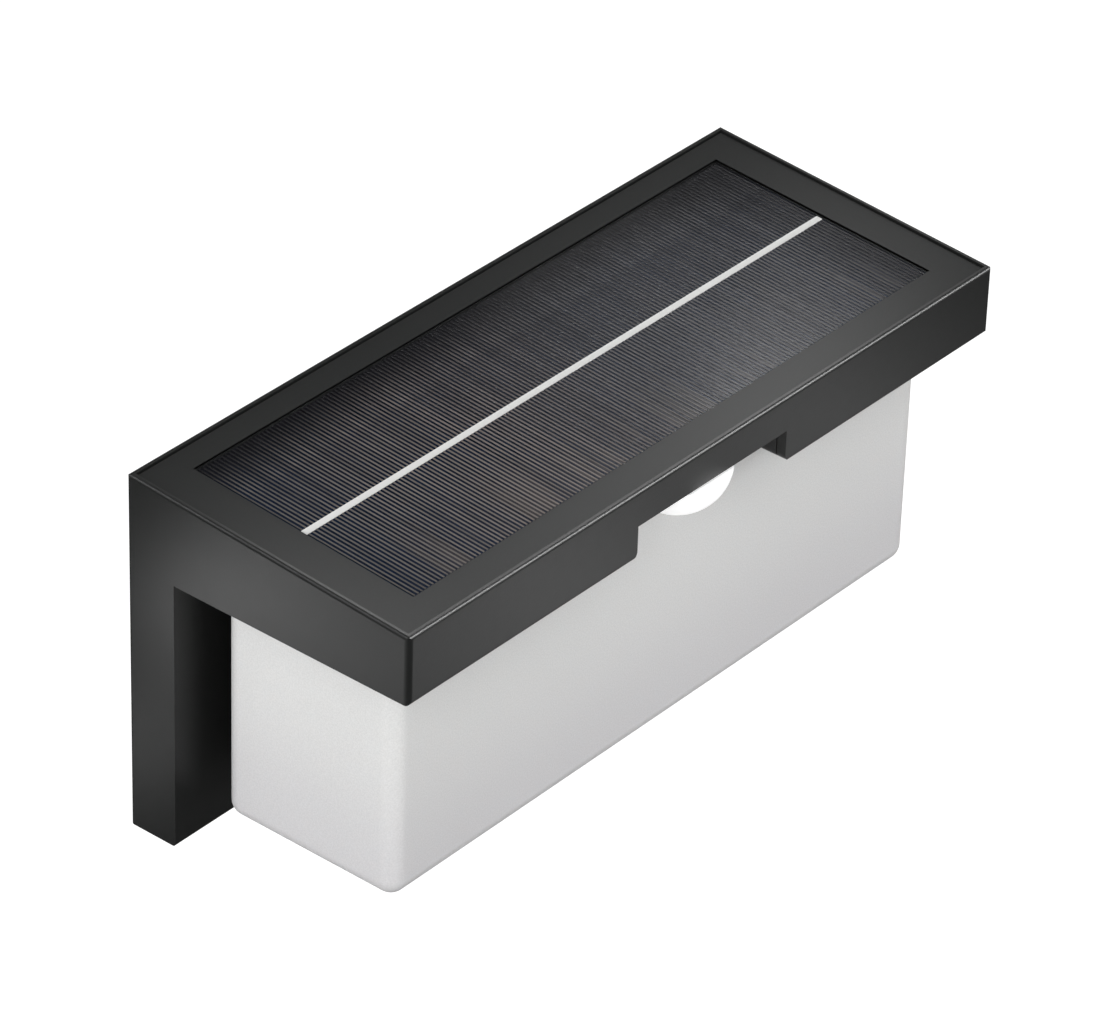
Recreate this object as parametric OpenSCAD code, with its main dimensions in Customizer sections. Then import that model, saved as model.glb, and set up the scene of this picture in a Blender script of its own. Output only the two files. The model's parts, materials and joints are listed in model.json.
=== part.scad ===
// Solar fence light. An L-shaped housing hangs on a wall or fence by two keyholes.
// Its sloping top holds a solar panel, and its underside a frosted lamp box.
// X runs along the wall, the back lies in the plane Y = 0, and the front faces -Y.
// Z = 0 is the height of the two keyhole entries, and X = 0 lies midway between them.

/* [Housing] */
// Length along the wall
housing_length = 180; // [170:1:240]
// Depth from the wall to the front face
housing_d = 71.5; // [70:0.5:84]
// Height from the top back edge to the foot of the leg
housing_h = 82.5; // [76:0.5:120]
// Height of the front face
front_h = 15.5; // [15:0.5:20]
// How far the top falls from back to front
roof_fall = 5; // [3:0.5:6]
// Thickness of the leg
leg_t = 12; // [11.5:0.5:13]
// Wall of the moulded shell
wall = 2.2; // [1.8:0.1:2.4]
// Radius of the long outer edges
edge_r = 0.8; // [0.4:0.1:1.2]
// Radius of the upright front corners
corner_r = 1.2; // [1:0.1:2]
// Height of the keyhole entries above the foot
hang_h = 37.5; // [30:0.5:42]

/* [Sensor notch] */
// Width of the notch in the front lip
notch_w = 46; // [40:1:52]
// Height of the notch
notch_h = 7.5; // [7:0.1:7.9]
// Radius of the notch's lower corners
notch_r = 1.8; // [0.5:0.1:2.2]

/* [Solar panel] */
// Width of the rim round the panel
rim_w = 1.2; // [1:0.1:1.8]
// Height of the rim above the panel
rim_h = 0.5; // [0.4:0.1:1.4]
// Gap between the panel and the rim
panel_gap = 0.3; // [0.2:0.1:0.5]
// Thickness of the clear cover
cover_t = 0.8; // [0.6:0.1:1]
// Thickness of the panel's backing board
backing_t = 1.2; // [0.8:0.1:1.4]
// Thickness of the glued seal under the panel
panel_seal_t = 0.4; // [0.2:0.1:0.6]
// Width of the glued seal
panel_seal_w = 5; // [3:0.5:8]
// Thickness of the floor under the panel
floor_t = 1.6; // [1.2:0.1:1.8]
// Bare panel at each end of the cell
cell_end_gap = 9; // [7:0.1:12]
// Bare panel at each side of the cell
cell_side_gap = 6.3; // [4:0.1:10]
// Thickness of the cell
cell_t = 0.2; // [0.15:0.05:0.3]
// How far the cell's centre lies to the right of the panel's
cell_right = 0.3; // [-2:0.1:2]
// How far the cell's centre lies behind the panel's
cell_back = 0.6; // [-2:0.1:2]
// Width of the busbar
busbar_w = 1.5; // [1:0.1:3]
// Width of one printed finger
finger_w = 0.36; // [0.1:0.02:0.5]
// Spacing of the fingers
finger_pitch = 1.045; // [0.9:0.005:3]
// Bare margin of the cell round the printed grid
grid_margin = 0.6; // [0.3:0.1:2]
// Height of the printed grid
grid_t = 0.1; // [0.05:0.05:0.2]

/* [Diffuser] */
// Inset of the diffuser from each end of the housing
side_inset = 8.6; // [8.6:0.1:11]
// Inset of the diffuser from the front face
front_inset = 10.5; // [10.5:0.1:12]
// Gap between the leg and the diffuser
leg_gap = 5; // [5:0.5:7]
// Height of the diffuser's bottom above the foot
foot_gap = 6; // [2:0.5:12]
// Wall of the diffuser
diffuser_wall = 1.8; // [1.4:0.1:2]
// Radius of the diffuser's upright corners and bottom edges
diffuser_r = 3.6; // [2.6:0.1:4]

/* [Base tray] */
// Thickness of the tray's plate
tray_t = 2.4; // [2.2:0.1:2.6]
// Depth of the groove for the diffuser's rim
groove_h = 1.2; // [1:0.1:1.4]
// Thickness of the gasket in the groove
gasket_t = 0.6; // [0.4:0.1:0.8]
// Clearance round parts that drop into place
fit_gap = 0.2; // [0.1:0.05:0.3]
// Gap between each end of the electronics bay and the diffuser's outside
bay_end_gap = 9; // [7:0.5:12]
// Gap between the sensor's board and the bay
sensor_gap = 2.1; // [1.6:0.1:2.6]
// How far the bay reaches below the slab
bay_h = 10; // [9:0.5:14]
// Wall of the bay
bay_wall = 1.6; // [1.2:0.1:1.8]
// Gap between the bay and the diffuser's back wall
bay_gap = 2.2; // [1.5:0.1:2.4]

/* [Motion sensor] */
// Outer radius of the lens
lens_r = 11.3; // [10:0.1:11.6]
// Length of the lens's straight skirt in front of the diffuser
lens_skirt = 1.3; // [1:0.1:3]
// Height of the lens's centre above the notch's ceiling
lens_rise = 0.8; // [0:0.1:2]
// Wall of the lens
lens_wall = 0.9; // [0.6:0.1:1.2]
// Reach of the lens's flange past the lens
lens_flange_w = 1.4; // [1:0.1:2]
// Length of the sensor holder
holder_l = 26; // [24:1:30]
// Depth of the sensor holder
holder_d = 8; // [7:0.5:9]
// How far the holder reaches below the slab
holder_drop = 5.5; // [5:0.5:6]
// Radius of the sensor can
can_r = 4.1; // [3.5:0.1:4.3]
// Length of the sensor can
can_l = 4.2; // [3.5:0.1:5]
// Radius of the can's base
can_base_r = 4.6; // [4.2:0.1:4.9]
// Thickness of the can's base
can_base_t = 0.8; // [0.5:0.1:1]
// Side of the sensor's square filter
filter_w = 3.6; // [2.5:0.1:4.4]
// Thickness of the filter
filter_t = 0.5; // [0.3:0.1:0.6]
// Height of the can's axis above the slab's underside
can_rise = 1; // [0:0.1:1.5]

/* [Back cover] */
// Thickness of the back cover
back_t = 2; // [1.6:0.1:2.2]
// Thickness of the seal behind the cover
back_seal_t = 0.5; // [0.3:0.1:0.6]
// Width of the housing's edge round the back cover
back_lip = 1.2; // [0.8:0.1:1.4]
// Distance between the two keyholes
hang_l = 120; // [90:1:140]
// Radius of a keyhole's entry
entry_r = 4.2; // [3.8:0.1:4.8]
// Radius of a keyhole's slot
slot_r = 2.2; // [1.8:0.1:2.6]
// How far the slot rises above the entry
slot_rise = 7; // [6:0.5:9]
// Depth of the pocket for the screw's head
pocket_d = 4.5; // [4.2:0.1:5]
// Wall of the pocket
pocket_wall = 1.2; // [1:0.1:1.4]
// Room round the entry inside the pocket
pocket_room = 1; // [0.5:0.1:1.5]
// Thickness of the cover's stiffening ribs
rib_t = 1.2; // [1:0.1:1.6]
// Height of the cover's stiffening ribs
rib_h = 2.5; // [2:0.1:4]

/* [Lamp] */
// Thickness of the reflector plate
reflector_t = 1.5; // [1.2:0.1:2]
// Depth of the reflector's rim
reflector_rim_h = 3; // [2:0.5:5]
// Gap between the reflector and the diffuser
reflector_gap = 0.8; // [0.5:0.1:1.2]
// Inset of the LED board from each end of the bay
led_board_inset = 7.5; // [7:0.5:10]
// Width of the LED board
led_board_w = 8; // [6:0.5:8.5]
// Thickness of every circuit board
board_t = 1.2; // [0.8:0.1:1.6]
// Number of LEDs
led_n = 24; // [12:2:36]
// Length of an LED
led_l = 2.8; // [2:0.1:3]
// Width of an LED
led_w = 3.5; // [2.8:0.1:4]
// Height of an LED
led_t = 0.8; // [0.6:0.1:1.2]

/* [Battery] */
// Gap between the battery and the bay's side walls
battery_side_gap = 1.05; // [0.8:0.05:3]
// Gap between the battery and the floor under the panel
battery_top_gap = 3.8; // [2.4:0.1:4]
// Radius of the battery's button end
battery_tip_r = 2.8; // [2.5:0.1:3.5]
// Length of the battery's button end
battery_tip_l = 0.8; // [0.5:0.1:1.2]
// Wall of the cradle
cradle_wall = 1.5; // [1.2:0.1:2]
// Thickness of the cradle's floor
cradle_floor_t = 1.2; // [1:0.1:1.6]
// Clearance between the battery and its saddles
cradle_gap = 0.15; // [0.1:0.05:0.3]
// Room for a contact at each end of the battery
contact_room = 1; // [0.8:0.1:1.5]
// Thickness of the contact strip
contact_t = 0.4; // [0.3:0.1:0.5]
// Width of the contact strip
contact_w = 7; // [5:0.5:9]
// Radius of the contact's raised pad
contact_pad_r = 2; // [1.5:0.1:2.5]

/* [Controller] */
// Room for the lamp's leads beyond the controller board
lead_room = 10.6; // [10:0.1:14]
// Gap between the controller board and the bay's side walls
board_side_gap = 0.9; // [0.5:0.1:2]
// Height of the posts under the controller board
post_h = 4; // [2.5:0.5:5]
// Radius of the posts
post_r = 2; // [1.8:0.1:2.2]
// Distance of a post's centre from the board's edges
post_inset = 2.6; // [2.4:0.1:3]
// Gap between the battery's cradle and the controller board
board_gap = 3; // [2:0.5:4]

/* [Mode button] */
// Place of the button to the right of the middle
button_x = 30; // [26:1:40]
// Radius of the button
button_r = 3; // [2.4:0.1:3]
// Clearance round the button
button_gap = 0.25; // [0.15:0.05:0.4]
// How far the button stands out of the foot
button_proud = 1; // [0.8:0.1:1.5]
// How far the button travels
button_travel = 0.6; // [0.3:0.1:0.8]
// Reach of the button's flange past its side
button_flange_w = 0.5; // [0.4:0.05:0.6]
// Thickness of the button's flange
button_flange_t = 1; // [0.8:0.1:1.4]
// Thickness of the button's seal
button_seal_t = 0.6; // [0.4:0.1:0.8]
// Side of the switch body
switch_w = 6; // [5:0.5:6]
// Height of the switch body
switch_h = 3.6; // [3.2:0.1:5]
// Radius of the switch plunger
plunger_r = 1.5; // [1.2:0.05:1.75]
// Depth that the plunger stands in the switch
plunger_in = 1.5; // [1:0.1:1.8]
// Length of the switch board
switch_board_l = 22; // [20:1:26]

/* [Screws] */
// Radius of a large screw's shank
screw_r = 1.2; // [1:0.05:1.3]
// Radius of a large screw's head
screw_head_r = 2.2; // [2:0.05:2.3]
// Height of a large screw's head
screw_head_h = 1.2; // [1:0.1:1.3]
// Length of a large screw's shank
screw_l = 7; // [5:0.5:7]
// Radius of a small screw's shank
small_screw_r = 0.8; // [0.7:0.05:1]
// Radius of a small screw's head
small_head_r = 1.6; // [1.4:0.05:1.8]
// Height of a small screw's head
small_head_h = 1; // [0.8:0.1:1.2]
// Length of a small screw's shank
small_screw_l = 4; // [3:0.5:4.5]
// Radius of a boss that takes a large screw
boss_r = 2.9; // [2.6:0.1:3]
// Clearance between a screw's shank and its hole
screw_gap = 0.05; // [0.02:0.01:0.1]
// Clearance round a screw where it passes through a plate
pass_gap = 0.25; // [0.15:0.05:0.4]
// Width of the cross in a screw's head
cross_w = 0.6; // [0.4:0.1:0.8]

/* [Leads] */
// Radius of one insulated lead
lead_r = 0.6; // [0.4:0.05:0.7]
// Spacing of two leads side by side
lead_pitch = 1.4; // [1.3:0.1:2]
// Radius of the hole for the panel's leads
lead_hole_r = 3; // [2.5:0.1:3.5]

/* [Hidden] */
$fn = 48;

housing_col = "#3f4241";
tray_col = "#2b2c2c";
opal_col = "#d9d9d6";
white_col = "#f4f4f2";
cell_col = "#1c2436";
grid_col = "#8d8a86";
board_col = "#1f5a3a";
steel_col = "#b9bcc0";
rubber_col = "#1b1b1b";
wrap_col = "#2d5f8f";
chip_col = "#232323";

// How far a cut runs past the face that it opens
cut = 0.5;
// How deep a rib or boss is rooted in what carries it
root = 0.4;
// Sides of a lead, and how many steps a lead takes between two of its points
lead_sides = 8;
lead_steps = 4;

// The battery's length as a share of the bay's
battery_share = 0.4514;
// Places along the controller board, as shares of its length
socket_shares = [0.22, 0.42, 0.62];
chip_shares = [0.3, 0.5];
coil_share = 0.68;
capacitor_share = 0.82;
sensor_share = 0.06;
pad_share = 0.91;

z_foot = -hang_h;
z_top = housing_h - hang_h;
z_under = z_top - roof_fall - front_h;
tilt = atan(roof_fall / housing_d);
roof_len = housing_d / cos(tilt);
inner_l = housing_length - 2 * wall;
y_front_in = -(housing_d - wall);
y_leg_in = -(leg_t - wall);

recess_l = housing_length - 2 * rim_w;
recess_w = roof_len - 2 * rim_w;
recess_h = rim_h + cover_t + backing_t + panel_seal_t;
panel_l = recess_l - 2 * panel_gap;
panel_w = recess_w - 2 * panel_gap;
cell_l = panel_l - 2 * cell_end_gap;
cell_w = panel_w - 2 * cell_side_gap;
roof_mid = -roof_len / 2;
cell_mid = [cell_right, roof_mid + cell_back];

diffuser_l = housing_length - 2 * side_inset;
y_diffuser_front = -(housing_d - front_inset);
y_diffuser_back = -(leg_t + leg_gap);
diffuser_w = y_diffuser_back - y_diffuser_front;
z_diffuser = z_foot + foot_gap;
z_rim = z_under + groove_h - gasket_t;
z_tab = z_under + notch_h - gasket_t;
tab_w = notch_w - 2 * gasket_t;
boss_inset = diffuser_wall + boss_r - root;
diffuser_boss_h = screw_l + boss_r;

sensor_d = lens_wall + holder_d + board_t + sensor_gap;
bay_l = diffuser_l - 2 * bay_end_gap;
bay_w = diffuser_w - 2 * diffuser_wall - bay_gap - sensor_d;
y_bay_back = y_diffuser_back - diffuser_wall - bay_gap;
y_bay_front = y_bay_back - bay_w;
led_board_l = bay_l - 2 * led_board_inset;
y_bay_mid = y_bay_back - bay_w / 2;
z_bay = z_under - bay_h;
bay_boss_r = boss_r - root;
bay_boss_x = bay_l / 2 - bay_wall - bay_boss_r + root;
bay_boss_y = bay_w / 2 - bay_wall - bay_boss_r + root;
z_house = z_under + notch_h;

seat_d = back_t + back_seal_t;
z_seat_top = ceiling_z(-seat_d) - root;
back_boss_x = housing_length / 2 - wall - boss_r;
back_row_top = (z_under + tray_t + z_seat_top) / 2;
back_row_low = z_foot + wall + 2 * boss_r;
z_ledge = z_seat_top - 2 * wall + back_lip;
y_ledge = -seat_d - rib_t;

tray_boss_x = (diffuser_l / 2 + inner_l / 2) / 2;
tray_boss_rows = [y_diffuser_back + y_diffuser_front / 5, y_diffuser_front + boss_r / 2];

z_lens = z_house + lens_rise;
z_lens_flat = z_tab - fit_gap / 2;
y_tab_in = y_diffuser_front + diffuser_wall;
y_holder = y_tab_in + lens_wall;
z_can = z_under + can_rise;

// The thickest battery that fits the bay's width and the height under the panel
battery_room = ceiling_z(y_bay_mid) - z_bay - cradle_floor_t - 2 * cradle_gap;
battery_l = bay_l * battery_share;
battery_dia = min(bay_w - 2 * bay_wall - 2 * battery_side_gap, battery_room - battery_top_gap);
z_battery = z_bay + cradle_floor_t + 2 * cradle_gap + battery_dia / 2;
cradle_h = battery_dia * 3 / 4;
cradle_l = battery_l + 2 * contact_room + 2 * cradle_wall;
cradle_x = -bay_l / 2 + bay_wall + 2 * bay_boss_r + fit_gap;
cradle_w = bay_w - 2 * bay_wall - 2 * fit_gap;
battery_x = cradle_x + cradle_wall + contact_room;
board_x = cradle_x + cradle_l + board_gap;
board_l = bay_l / 2 - bay_wall - lead_room - board_x;
board_w = bay_w - 2 * bay_wall - 2 * board_side_gap;
z_board = z_bay + post_h;
post_spots = [for (x = [board_x + post_inset, board_x + board_l - post_inset], s = [-1, 1])
    [x, y_bay_mid + s * (board_w / 2 - post_inset)]];
z_led_board = z_bay - reflector_t - board_t;

y_button = (y_leg_in - back_t) / 2;
z_foot_in = z_foot + wall;
z_flange_top = z_foot_in + button_seal_t + button_flange_t;
z_switch = z_flange_top + button_travel + root;
z_switch_board = z_switch + switch_h;
flange_r = button_r + button_flange_w;
switch_board_w = -y_leg_in - back_t - 4 * fit_gap;
peg_x = switch_board_l / 2 - post_r;

// Height of the underside of the floor that carries the panel, at a depth y
function ceiling_z(y) = z_top - (recess_h + floor_t) / cos(tilt) + y * tan(tilt);

function unit(v) = v / norm(v);
function before(points, i) = points[(i + len(points) - 1) % len(points)] - points[i];
function after(points, i) = points[(i + 1) % len(points)] - points[i];
function half_angle(points, i) = acos(unit(before(points, i)) * unit(after(points, i))) / 2;
function trims(points, radii, i) = radii[i] == 0 ? [points[i]]
    : let (t = radii[i] / tan(half_angle(points, i)))
        [points[i] + unit(before(points, i)) * t, points[i] + unit(after(points, i)) * t];
function arc_centre(points, radii, i) = points[i]
    + unit(unit(before(points, i)) + unit(after(points, i))) * radii[i] / sin(half_angle(points, i));

// A polygon whose corners have their own radii, as true arcs
module rounded_outline(points, radii) {
    polygon([for (i = [0:len(points) - 1]) each trims(points, radii, i)]);
    for (i = [0:len(points) - 1])
        if (radii[i] > 0)
            translate(arc_centre(points, radii, i))
                circle(r = radii[i]);
}

module rounded_box_outline(low, high, radii) {
    rounded_outline([low, [high.x, low.y], high, [low.x, high.y]], radii);
}

// Runs an outline drawn in Y and Z along X
module run_x(length) {
    rotate([90, 0, 90])
        linear_extrude(length, center = true)
            children();
}

// Runs an outline drawn in X and Z from one depth to another
module run_y(y_from, y_to) {
    translate([0, max(y_from, y_to), 0])
        rotate([90, 0, 0])
            linear_extrude(abs(y_to - y_from))
                children();
}

module run_z(z_from, z_to) {
    translate([0, 0, z_from])
        linear_extrude(z_to - z_from)
            children();
}

// A box given by its two corners
module block(low, high) {
    translate(low)
        cube(high - low);
}

// A round bar along Y, from one depth to another
module bar_y(x, z, r, y_from, y_to) {
    translate([x, max(y_from, y_to), z])
        rotate([90, 0, 0])
            cylinder(h = abs(y_to - y_from), r = r);
}

// The sloping frame of the roof: its top surface is z = 0, and y runs from 0 to -roof_len
module on_roof() {
    translate([0, 0, z_top])
        rotate([tilt, 0, 0])
            children();
}

function at_roof(p) = [p.x, p.y * cos(tilt) - p.z * sin(tilt), z_top + p.y * sin(tilt) + p.z * cos(tilt)];

module mirror_x() {
    for (side = [0, 1])
        mirror([side, 0, 0])
            children();
}

// A sunk-head screw, its head's face at z = 0 and its tip below
module flat_screw() {
    difference() {
        rotate_extrude()
            polygon([
                [0, 0], [screw_head_r, 0], [screw_r, -screw_head_h], [screw_r, -screw_l],
                [screw_r / 4, -screw_l - screw_r], [0, -screw_l - screw_r]
            ]);
        screw_cross(screw_head_r, screw_head_h / 2);
    }
}

// A pan-head screw, its head's underside at z = 0
module pan_screw(r, length, head_r, head_h) {
    difference() {
        rotate_extrude()
            polygon([[0, head_h], [head_r, head_h], [head_r, 0], [r, 0], [r, -length], [0, -length]]);
        translate([0, 0, head_h])
            screw_cross(head_r, head_h / 2);
    }
}

module screw_cross(head_r, deep) {
    for (turn = [0, 90])
        rotate([0, 0, turn])
            translate([-head_r * 2 / 3, -cross_w / 2, -deep])
                cube([head_r * 4 / 3, cross_w, deep + cut]);
}

// The seat that a sunk head needs
module sunk_hole(depth) {
    translate([0, 0, -screw_head_h - pass_gap])
        cylinder(h = screw_head_h + pass_gap, r1 = screw_r, r2 = screw_head_r + pass_gap);
    translate([0, 0, -depth - cut])
        cylinder(h = depth + cut, r = screw_r + pass_gap);
    cylinder(h = cut, r = screw_head_r + pass_gap);
}

back_spots = [[-back_boss_x, back_row_top], [back_boss_x, back_row_top], [-back_boss_x, back_row_low],
    [back_boss_x, back_row_low], [0, back_row_low]];
tray_spots = [for (s = [-1, 1], y = tray_boss_rows) [s * tray_boss_x, y]];
diffuser_spots = [for (s = [-1, 1], y = [y_diffuser_back - boss_inset, y_diffuser_front + boss_inset])
    [s * (diffuser_l / 2 - boss_inset), y]];
bay_spots = [for (s = [-1, 1], t = [-1, 1]) [s * bay_boss_x, y_bay_mid + t * bay_boss_y]];

// Housing: one L-shaped moulding

module side_outline() {
    rounded_outline(
        [[0, z_top], [-housing_d, z_top - roof_fall], [-housing_d, z_under], [0, z_under]],
        [edge_r, edge_r, edge_r, 0]
    );
    rounded_outline(
        [[0, z_under + front_h / 2], [-leg_t, z_under + front_h / 2], [-leg_t, z_foot], [0, z_foot]],
        [0, 0, edge_r, edge_r]
    );
}

module housing_block() {
    intersection() {
        run_x(housing_length + 2 * cut)
            side_outline();
        run_z(z_foot - cut, z_top + cut)
            rounded_box_outline([-housing_length / 2, -housing_d], [housing_length / 2, 0],
                [corner_r, corner_r, edge_r, edge_r]);
        on_roof()
            run_y(roof_fall, -roof_len - front_h)
                rounded_box_outline([-housing_length / 2, -housing_h - front_h], [housing_length / 2, 0],
                    [0, 0, edge_r, edge_r]);
    }
}

module notch_outline(flare) {
    translate([-notch_w / 2, z_under - cut])
        square([notch_w, notch_h + cut]);
    if (flare > 0)
        mirror_x()
            difference() {
                translate([notch_w / 2 - root, z_under - cut])
                    square([flare + root, flare + cut]);
                translate([notch_w / 2 + flare, z_under + flare])
                    circle(r = flare);
                translate([notch_w / 2 + flare, z_under - 2 * cut])
                    square([flare, flare]);
            }
}

module housing_hollow() {
    run_x(inner_l)
        polygon([
            [cut, z_ledge],
            [y_ledge, z_ledge],
            [y_ledge, ceiling_z(y_ledge)],
            [y_front_in, ceiling_z(y_front_in)],
            [y_front_in, z_under - cut],
            [-leg_t, z_under - cut],
            [-leg_t, z_under],
            [y_leg_in, z_under],
            [y_leg_in, z_foot_in],
            [cut, z_foot_in]
        ]);
}

module housing() {
    color(housing_col)
        difference() {
            union() {
                difference() {
                    housing_block();
                    on_roof()
                        block([-recess_l / 2, -roof_len + rim_w, -recess_h], [recess_l / 2, -rim_w, cut]);
                    housing_hollow();
                    block([-housing_length / 2 + back_lip, -seat_d, z_foot + back_lip],
                        [housing_length / 2 - back_lip, cut, z_seat_top]);
                    run_y(y_front_in + cut, -housing_d - cut)
                        notch_outline(notch_r);
                }
                tray_bosses();
                back_bosses();
                switch_pegs();
            }
            for (spot = tray_spots)
                translate([spot.x, spot.y, z_under + tray_t - cut])
                    cylinder(h = screw_l - screw_head_h + cut, r = screw_r + screw_gap);
            for (spot = back_spots)
                bar_y(spot.x, spot.y, screw_r + screw_gap, -seat_d + cut, y_leg_in + screw_gap);
            on_roof()
                translate([socket_spots[2].x, y_bay_mid / cos(tilt), -recess_h - floor_t - cut])
                    cylinder(h = floor_t + 2 * cut, r = lead_hole_r);
            translate([button_x, y_button, z_foot - cut])
                cylinder(h = wall + 2 * cut, r = button_r + button_gap);
        }
}

module tray_bosses() {
    for (spot = tray_spots) {
        z_high = ceiling_z(spot.y) + floor_t / 2;
        translate([spot.x, spot.y, z_under + tray_t])
            cylinder(h = z_high - z_under - tray_t, r = boss_r);
        mirror([spot.x < 0 ? 1 : 0, 0, 0])
            block([tray_boss_x, spot.y - rib_t / 2, z_under + tray_t],
                [inner_l / 2 + root, spot.y + rib_t / 2, z_high]);
    }
}

module back_bosses() {
    for (spot = back_spots) {
        bar_y(spot.x, spot.y, boss_r, -seat_d, y_leg_in - root);
        if (abs(spot.x) > boss_r)
            mirror([spot.x < 0 ? 1 : 0, 0, 0])
                block([back_boss_x, y_leg_in - root, spot.y - boss_r / 2],
                    [inner_l / 2 + root, -seat_d, spot.y + boss_r / 2]);
    }
}

// Two posts whose thin ends pass through the switch board
module switch_pegs() {
    for (s = [-1, 1])
        translate([button_x + s * peg_x, y_button, z_foot_in - root]) {
            cylinder(h = z_switch_board - z_foot_in + root, r = post_r);
            cylinder(h = z_switch_board - z_foot_in + root + board_t + root, r = small_screw_r);
        }
}

// Back cover: plate with two keyholes and a blind pocket behind each

module keyhole_outline() {
    mirror_x()
        translate([hang_l / 2, 0]) {
            circle(r = entry_r);
            translate([-slot_r, 0])
                square([2 * slot_r, slot_rise]);
            translate([0, slot_rise])
                circle(r = slot_r);
        }
}

module pocket(grow, y_from, y_to) {
    half = entry_r + pocket_room + grow;
    mirror_x()
        block([hang_l / 2 - half, y_to, -half], [hang_l / 2 + half, y_from, slot_rise + half]);
}

module back_cover() {
    color(housing_col)
        difference() {
            union() {
                block([-housing_length / 2 + back_lip + fit_gap, -back_t, z_foot + back_lip + fit_gap],
                    [housing_length / 2 - back_lip - fit_gap, 0, z_seat_top - fit_gap]);
                pocket(pocket_wall, -back_t + root, -back_t - pocket_d - pocket_wall);
                for (z = [back_row_low + 2 * boss_r, z_under - 2 * boss_r])
                    block([-hang_l / 2 + entry_r + boss_r * 2, -back_t - rib_h, z],
                        [hang_l / 2 - entry_r - boss_r * 2, -back_t + root, z + rib_t]);
            }
            run_y(cut, -back_t - cut)
                keyhole_outline();
            pocket(0, -back_t, -back_t - pocket_d);
            for (spot = back_spots)
                translate([spot.x, 0, spot.y])
                    rotate([-90, 0, 0])
                        sunk_hole(back_t);
        }
}

module back_seal() {
    color(rubber_col)
        difference() {
            block([-housing_length / 2 + back_lip + fit_gap, -seat_d, z_foot + back_lip + fit_gap],
                [housing_length / 2 - back_lip - fit_gap, -back_t, z_seat_top - fit_gap]);
            block([-inner_l / 2, -seat_d - cut, z_foot_in], [inner_l / 2, -back_t + cut, z_ledge]);
        }
}

module back_screws() {
    color(steel_col)
        for (spot = back_spots)
            translate([spot.x, 0, spot.y])
                rotate([-90, 0, 0])
                    flat_screw();
}

// Base tray: closes the slab's underside, holds the diffuser and carries the electronics bay

module diffuser_plan(grow) {
    rounded_box_outline([-diffuser_l / 2 - grow, y_diffuser_front - grow],
        [diffuser_l / 2 + grow, y_diffuser_back + grow],
        [for (i = [1:4]) diffuser_r + grow]);
}

module diffuser_ring(grow) {
    difference() {
        diffuser_plan(grow);
        diffuser_plan(-diffuser_wall - grow);
    }
}

module base_tray() {
    color(tray_col)
        difference() {
            union() {
                difference() {
                    union() {
                        block([-inner_l / 2 + fit_gap, y_front_in + fit_gap, z_under],
                            [inner_l / 2 - fit_gap, y_leg_in, z_under + tray_t]);
                        block([-notch_w / 2 - bay_wall, y_front_in + fit_gap, z_under],
                            [notch_w / 2 + bay_wall, y_bay_front, z_house + bay_wall]);
                        block([-bay_l / 2, y_bay_front, z_bay], [bay_l / 2, y_bay_back, z_under + root]);
                    }
                    run_y(y_bay_front + cut, y_front_in - cut)
                        notch_outline(0);
                    run_y(y_diffuser_front - fit_gap, y_front_in - cut)
                        notch_outline(notch_r);
                    block([-bay_l / 2 + bay_wall, y_bay_front + bay_wall, z_bay - cut],
                        [bay_l / 2 - bay_wall, y_bay_back - bay_wall, z_under + tray_t + cut]);
                    run_z(z_under - cut, z_under + groove_h)
                        diffuser_ring(fit_gap);
                }
                for (spot = bay_spots)
                    translate([spot.x, spot.y, z_bay])
                        cylinder(h = bay_h + tray_t, r = bay_boss_r);
            }
            for (spot = bay_spots)
                translate([spot.x, spot.y, z_bay - cut])
                    cylinder(h = screw_l + cut, r = screw_r + screw_gap);
            for (spot = tray_spots)
                translate([spot.x, spot.y, z_under])
                    rotate([180, 0, 0])
                        sunk_hole(tray_t);
            for (spot = diffuser_spots)
                translate([spot.x, spot.y, z_under - cut])
                    cylinder(h = tray_t + 2 * cut, r = screw_r + pass_gap);
        }
}

module tray_screws() {
    color(steel_col)
        for (spot = tray_spots)
            translate([spot.x, spot.y, z_under])
                rotate([180, 0, 0])
                    flat_screw();
}

// Diffuser: open-topped frosted box with a raised tab round the lens

// Half of the outline through an upright corner, with its ball-shaped lower end
module corner_profile(r, z_low, z_high) {
    intersection() {
        union() {
            translate([0, z_low + r])
                circle(r = r);
            translate([0, z_low + r])
                square([r, z_high - z_low - r]);
        }
        translate([0, z_low])
            square([r, z_high - z_low]);
    }
}

module diffuser_solid(inset, z_high) {
    r = diffuser_r - inset;
    x_end = diffuser_l / 2 - inset;
    y_low = y_diffuser_front + inset;
    y_high = y_diffuser_back - inset;
    z_low = z_diffuser + inset;
    y_mid = (y_low + y_high) / 2;
    run_x(2 * (x_end - r))
        rounded_box_outline([y_low, z_low], [y_high, z_high], [r, r, 0, 0]);
    run_y(y_low + r, y_high - r)
        rounded_box_outline([-x_end, z_low], [x_end, z_high], [r, r, 0, 0]);
    mirror_x()
        for (side = [0, 1])
            translate([x_end - r, y_mid, 0])
                mirror([0, side, 0])
                    translate([0, (y_high - y_low) / 2 - r, 0])
                        rotate_extrude(angle = 90)
                            corner_profile(r, z_low, z_high);
}

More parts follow.
